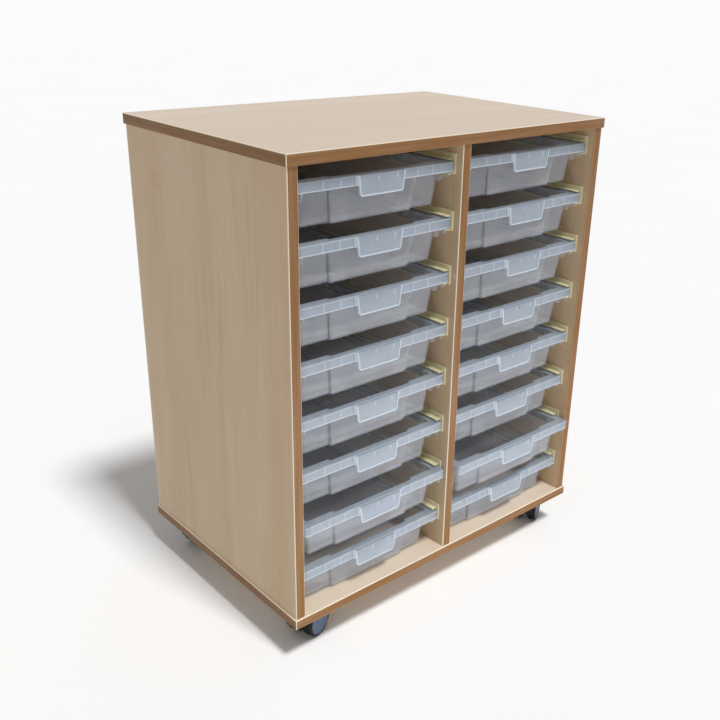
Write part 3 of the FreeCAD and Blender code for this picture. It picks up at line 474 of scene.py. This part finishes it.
def tray_plastic(look, node):
    """Frosted plastic of one tray: denser where walls meet, at edges and along the ribs, and paler at
    the left step as painted light.
    """
    finish = Finish(f"{node} plastic")
    corners = [Vector(corner) for corner in NODES[node].bound_box]
    middle = (corners[0].x + corners[6].x) / 2
    front = corners[0].y + HANDLE_PROUD
    rim = corners[6].z
    x, y, z = finish.split(finish.coordinates())
    side = abs(x - middle)
    depth = y - front
    drop = rim - z
    cloud = finish.noise(finish.coordinates(), scale=26.0, detail=3.0)
    mould = finish.noise(finish.coordinates(), scale=900.0, detail=2.0)
    streaks = finish.noise(finish.join(x * 160.0, y * 160.0, z * 14.0), detail=2.0)
    pull = finish.before(depth, HANDLE_FACE)
    edge = HANDLE_TOP_HALF - drop * HANDLE_SLOPE - side
    border = finish.before(finish.least(edge, HANDLE_DROP - drop), HANDLE_BORDER) * pull
    skirt = finish.before(drop, (SKIRT_DROP, SKIRT_DROP + SKIRT_FADE))
    rim_zone = skirt * finish.most(finish.before(depth, SKIRT_BACK), finish.before(drop, LEDGE))
    ribs = finish.most(*(finish.band(side, rib, 0.0010, 0.0016) for rib in RIB_PLACES))
    lines = finish.most(
        finish.band(drop, SKIRT_DROP, 0.0011, 0.0009) * 0.8,
        finish.band(drop, 0.0, 0.0010, 0.0012) * 0.6,
        ribs * 0.3) * finish.before(depth, SKIRT_FACE) * (1.0 - pull)
    shell = (1.0 - skirt) * finish.ramp(depth, *WALL_START)
    swell = finish.before(depth, BULGE_DEPTH) * shell
    right_step = finish.band(x - middle, BULGE_HALF, 0.0026, 0.0008) * swell
    # painted light: the left step's side wall lies in shade, so it takes some of the paler, denser edge
    # tone
    left_step_painted_light = finish.band(x - middle, -BULGE_HALF - 0.0010, 0.0040, 0.0012) * swell
    pips = finish.most(*(finish.band(x - middle, pip, 0.0009, 0.0020) for pip in PIP_PLACES))
    pips = pips * finish.band(drop, PIP_DROP, 0.0022, 0.0030) * finish.before(depth, PIP_FACE)
    foot = finish.ramp(drop, FOOT_DROP, FOOT_DROP + FOOT_FADE)
    crease = finish.band(drop, FOOT_DROP, 0.0005, 0.0005) * finish.before(depth, CREASE_DEPTH)
    dense = finish.most(
        border, lines, pips * 0.4, right_step * 0.7, left_step_painted_light * 0.15, foot * shell * 0.1)
    tone = finish.mix(finish.ramp(cloud, 0.3, 0.7), tuple(look.shade), tuple(look.colour))
    tone = finish.mix(finish.most(rim_zone, pull), tone, tuple(look.rim))
    tone = finish.mix(finish.ramp(streaks, 0.45, 0.75) * 0.12, tone, tuple(look.edge))
    tone = finish.mix(dense, tone, tuple(look.edge))
    tone = finish.mix(crease * shell, tone, tuple(look.crease))
    thin = finish.mix_value(rim_zone, look.wall_opacity, look.rim_opacity)
    thin = finish.mix_value(pull, thin, look.handle_opacity)
    alpha = finish.mix_value(dense, thin, look.edge_opacity)
    return finish.surface(
        Base_Color=tone, Roughness=finish.ramp(mould, 0.3, 0.7, 0.34, 0.46), Alpha=alpha,
        Normal=finish.bump(mould, 0.06, 0.0002))


def castor_wheel(look, node, joint):
    """Black tyre round a blue-grey disc, told apart by the distance from the axle."""
    finish = Finish(f"{node} finish")
    centre = Vector(joint["pos_m"])
    axis = Vector(joint["axis"]).normalized()
    side = Vector((0, 0, 1)).cross(axis).normalized()
    place = finish.split(finish.coordinates())
    level = sum(place[i] * side[i] for i in range(2)) - centre.dot(side)
    rise = place[2] - centre.z
    radius = (level * level + rise * rise) ** 0.5
    rubber = finish.ramp(radius, *DISC_EDGE)
    grain = finish.noise(finish.coordinates(), scale=700.0, detail=2.0)
    tone = finish.mix(rubber, tuple(look.disc), tuple(look.tyre))
    dust = finish.noise(finish.coordinates(), scale=60.0, detail=4.0)
    tone = finish.mix(finish.ramp(dust, 0.45, 0.8) * 0.03, tone, linear(*DUST))
    return finish.surface(
        Base_Color=tone, Roughness=finish.ramp(grain, 0.3, 0.7, 0.38, 0.5), Specular_IOR_Level=0.12,
        Normal=finish.bump(grain, 0.15, 0.0002))


# ---- stage ---------------------------------------------------------------------------------
def camera():
    """The camera, from its place, its angles and the axis's pixel."""
    turn_sine, turn_cosine = math.sin(CAMERA_TURN), math.cos(CAMERA_TURN)
    forward = Vector((
        turn_sine * math.cos(CAMERA_DIP), turn_cosine * math.cos(CAMERA_DIP), -math.sin(CAMERA_DIP)))
    level = Vector((turn_cosine, -turn_sine, 0))
    rise = level.cross(forward)
    right = level * math.cos(CAMERA_ROLL) + rise * math.sin(CAMERA_ROLL)
    up = rise * math.cos(CAMERA_ROLL) - level * math.sin(CAMERA_ROLL)
    data = bpy.data.cameras.new("camera")
    data.sensor_width = SENSOR
    data.lens = FOCAL_PIXELS / PICTURE_SIDE * SENSOR
    data.shift_x = 0.5 - AXIS_PIXEL[0] / PICTURE_SIDE
    data.shift_y = AXIS_PIXEL[1] / PICTURE_SIDE - 0.5
    data.clip_start, data.clip_end = CLIP
    item = bpy.data.objects.new("camera", data)
    axes = Matrix((right, up, -forward)).transposed().to_4x4()
    item.matrix_world = Matrix.Translation(CAMERA_PLACE) @ axes
    bpy.context.scene.collection.objects.link(item)
    bpy.context.scene.camera = item


def floor(look):
    """A plain pale floor."""
    mesh = bpy.data.meshes.new("floor")
    corners = ((-1, -1), (1, -1), (1, 1), (-1, 1))
    mesh.from_pydata([(x * FLOOR_REACH, y * FLOOR_REACH, 0) for x, y in corners], [], [(0, 1, 2, 3)])
    item = bpy.data.objects.new("floor", mesh)
    bpy.context.scene.collection.objects.link(item)
    finish = Finish("floor")
    drift = finish.noise(finish.coordinates(), scale=1.5, detail=1.0)
    darker = tuple(value * FLOOR_DRIFT for value in look.floor)
    tone = finish.mix(finish.ramp(drift, 0.3, 0.7), darker, tuple(look.floor))
    mesh.materials.append(finish.surface(Base_Color=tone, Roughness=0.9))
    return item


def lamp(name, kind, power, back, place=(0, 0, 0)):
    """A lamp that shines away from the way its back faces."""
    data = bpy.data.lights.new(name, kind)
    data.energy = power
    item = bpy.data.objects.new(name, data)
    item.location = place
    item.rotation_euler = Vector(back).to_track_quat("Z", "Y").to_euler()
    bpy.context.scene.collection.objects.link(item)
    return item


def low_light(look, ground):
    """A wide lamp near the floor in front of the trays. It shines up at them and not on the floor."""
    item = lamp("low", "AREA", look.low, LOW_BACK, (0, CAD_BOX[0][1] - LOW_AHEAD, LOW_HEIGHT))
    item.data.shape = "RECTANGLE"
    item.data.size, item.data.size_y = LOW_SIZE
    item.visible_camera = False
    spared = bpy.data.collections.new("spared by the low light")
    spared.objects.link(ground)
    spared.collection_objects[0].light_linking.link_state = "EXCLUDE"
    item.light_linking.receiver_collection = spared


def surroundings(look):
    """Even light all round, and a near-white backdrop for the camera and for reflections."""
    finish = Finish("world", world=True)
    rays = (finish.node("ShaderNodeLightPath", output=f"Is {kind} Ray")
            for kind in ("Camera", "Glossy", "Transmission"))
    strength = finish.mix_value(finish.most(*rays), look.ambient, look.backdrop)
    light = finish.node("ShaderNodeBackground", values={"Color": (1.0, 1.0, 1.0), "Strength": strength})
    finish.node("ShaderNodeOutputWorld", values={"Surface": light})
    bpy.context.scene.world = finish.owner


def lights(look, ground):
    """The main light, the low light and the light all round."""
    lamp("key", "SUN", look.key, KEY_TOWARD).data.angle = KEY_ANGLE
    low_light(look, ground)
    surroundings(look)


# ---- operators -----------------------------------------------------------------------------
class DressBoards(bpy.types.Operator):
    """Give the boards and panels their maple-effect facing, with painted sheen on the top panel and
    painted light on the base panel
    """
    bl_idname = "tray_unit.dress_boards"
    bl_label = "Dress Boards"

    def execute(self, context):
        look = context.scene.tray_unit_boards
        dress("top_panel", faced_board(look, "top facing painted sheen", 0, look.top, TOP_SHEEN_SHARE))
        dress("base_panel", faced_board(look, "base facing painted light", 0, look.base, BASE_LIGHT_SHARE))
        upright = faced_board(look, "upright facing", 2, marks=True)
        for node in ("left_side_panel", "right_side_panel", "centre_divider", "back_panel"):
            dress(node, upright)
        dress("carcass_dowels", moulded("dowel wood", linear(205, 175, 135), 0.7))
        return {"FINISHED"}


class DressEdging(bpy.types.Operator):
    """Give the edging strips their brown face and pale trimmed corners, with painted shade on the
    corners that face down and on the right side's trim
    """
    bl_idname = "tray_unit.dress_edging"
    bl_label = "Dress Edging"

    def execute(self, context):
        look = context.scene.tray_unit_edging
        level = edging(look, "edging along", False, look.core)
        upright = edging(look, "edging upright", True, look.core)
        for node in ("top_edging", "base_edging"):
            dress(node, level)
        for node in ("left_side_edging", "divider_edging"):
            dress(node, upright)
        dress("right_side_edging", edging(look, "edging at the right", True, look.shaded_trim))
        return {"FINISHED"}


class DressRunners(bpy.types.Operator):
    """Give the runners and their screws a finish"""
    bl_idname = "tray_unit.dress_runners"
    bl_label = "Dress Runners"

    def execute(self, context):
        material = moulded("runner plastic", tuple(context.scene.tray_unit_runners.colour), 0.36)
        for bay in ("left", "right"):
            for side in ("left", "right"):
                dress(f"{bay}_bay_{side}_runners", material)
        zinc = moulded("zinc plated steel", linear(190, 188, 180), 0.32)
        for node in ("runner_screws", "castor_screws", "castor_kingpins"):
            dress(node, zinc)
        return {"FINISHED"}


class DressTrays(bpy.types.Operator):
    """Give the trays their translucent plastic"""
    bl_idname = "tray_unit.dress_trays"
    bl_label = "Dress Trays"

    def execute(self, context):
        for node in sorted(NODES):
            if node.startswith("tray_"):
                dress(node, tray_plastic(context.scene.tray_unit_trays, node))
        return {"FINISHED"}


class DressCastors(bpy.types.Operator):
    """Give the castors' pieces their finishes"""
    bl_idname = "tray_unit.dress_castors"
    bl_label = "Dress Castors"

    def execute(self, context):
        look = context.scene.tray_unit_castors
        nylon = moulded("castor nylon", tuple(look.housing), 0.45, vary=0.15, gloss=0.2)
        steel = moulded("castor steel", linear(178, 178, 172), 0.3)
        for node in sorted(NODES):
            if node.endswith(("_castor_housing", "_brake_pedal")):
                dress(node, nylon)
            elif node.endswith(("_castor_plate", "_castor_axle")):
                dress(node, steel)
            elif "_castor_wheel_" in node:
                dress(node, castor_wheel(look, node, JOINTS[f"{node}_spin"]))
        return {"FINISHED"}


class SetStage(bpy.types.Operator):
    """Lay the floor, hang the lights and set the camera"""
    bl_idname = "tray_unit.set_stage"
    bl_label = "Set Stage"

    def execute(self, context):
        look = context.scene.tray_unit_stage
        lights(look, floor(look))
        camera()
        return {"FINISHED"}


# ---- panel and making ----------------------------------------------------------------------
LOOKS = {
    "tray_unit_boards": BoardLook,
    "tray_unit_edging": EdgingLook,
    "tray_unit_runners": RunnerLook,
    "tray_unit_trays": TrayLook,
    "tray_unit_castors": CastorLook,
    "tray_unit_stage": StageLook,
}
STEPS = (SetStage, DressBoards, DressEdging, DressRunners, DressTrays, DressCastors)


class TrayUnitPanel(bpy.types.Panel):
    """Lists the looks and the steps of the tray storage unit"""
    bl_idname = "VIEW3D_PT_tray_unit"
    bl_label = "Tray Storage Unit"
    bl_space_type = "VIEW_3D"
    bl_region_type = "UI"
    bl_category = "Tray Unit"

    def draw(self, context):
        for name in LOOKS:
            look = getattr(context.scene, name)
            box = self.layout.box()
            for field in look.bl_rna.properties.keys():
                if field not in ("rna_type", "name"):
                    box.prop(look, field)
        for step in STEPS:
            self.layout.operator(step.bl_idname)


def register():
    """Register the looks, the steps and the panel."""
    for look in LOOKS.values():
        bpy.utils.register_class(look)
    for name, look in LOOKS.items():
        setattr(bpy.types.Scene, name, PointerProperty(type=look))
    for kind in (*STEPS, TrayUnitPanel):
        bpy.utils.register_class(kind)


def unregister():
    """Take back what register did."""
    for kind in (TrayUnitPanel, *reversed(STEPS)):
        bpy.utils.unregister_class(kind)
    for name in LOOKS:
        delattr(bpy.types.Scene, name)
    for look in reversed(LOOKS.values()):
        bpy.utils.unregister_class(look)


def main():
    """Register, set the view and the bounces, dress the part and lay the stage."""
    register()
    scene = bpy.context.scene
    scene.view_settings.view_transform = "Standard"
    scene.cycles.transparent_max_bounces = TRANSPARENT_BOUNCES
    scene.cycles.diffuse_bounces = DIFFUSE_BOUNCES
    for step in STEPS:
        group, _, action = step.bl_idname.partition(".")
        getattr(getattr(bpy.ops, group), action)()


if __name__ == "__main__":
    main()
